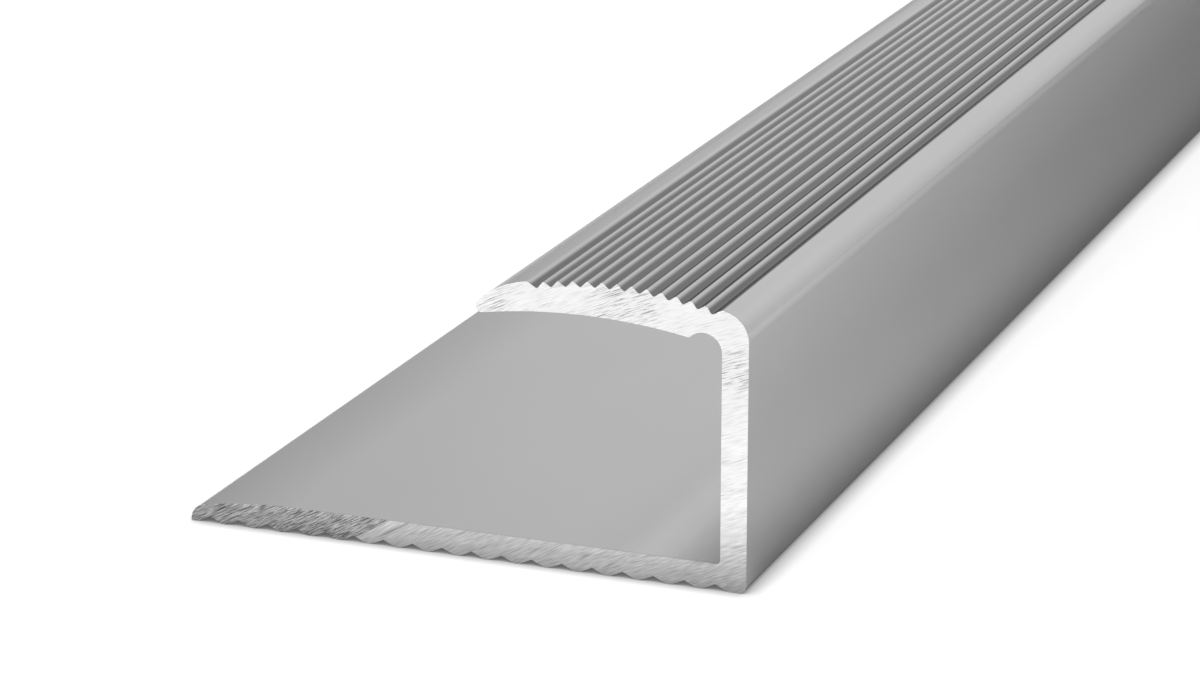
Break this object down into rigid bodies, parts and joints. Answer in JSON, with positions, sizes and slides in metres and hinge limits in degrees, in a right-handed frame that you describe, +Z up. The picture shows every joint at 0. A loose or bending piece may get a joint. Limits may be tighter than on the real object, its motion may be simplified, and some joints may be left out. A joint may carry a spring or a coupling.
{
  "type": "edge trim profile",
  "caption": "Straight aluminium edge trim for floor coverings: a flat keyed base flange, an upright web, and a crowned, grooved top flange over an open slot.",
  "frame": {"origin": "centre of the bounding box at its bottom: halfway along the length, halfway across the base flange, on the plane that the underside's lands rest on", "axes": "+Y along the length of the stock, +X from the toe of the base flange towards the web, +Z up from the base flange to the top flange"},
  "size_m": [0.028, 0.9, 0.014],
  "materials": {
    "anodised_aluminium": "satin silver anodised, with bright sawn ends"
  },
  "bodies": {
    "root": {"trim_profile": "anodised_aluminium"}
  },
  "joints": []
}
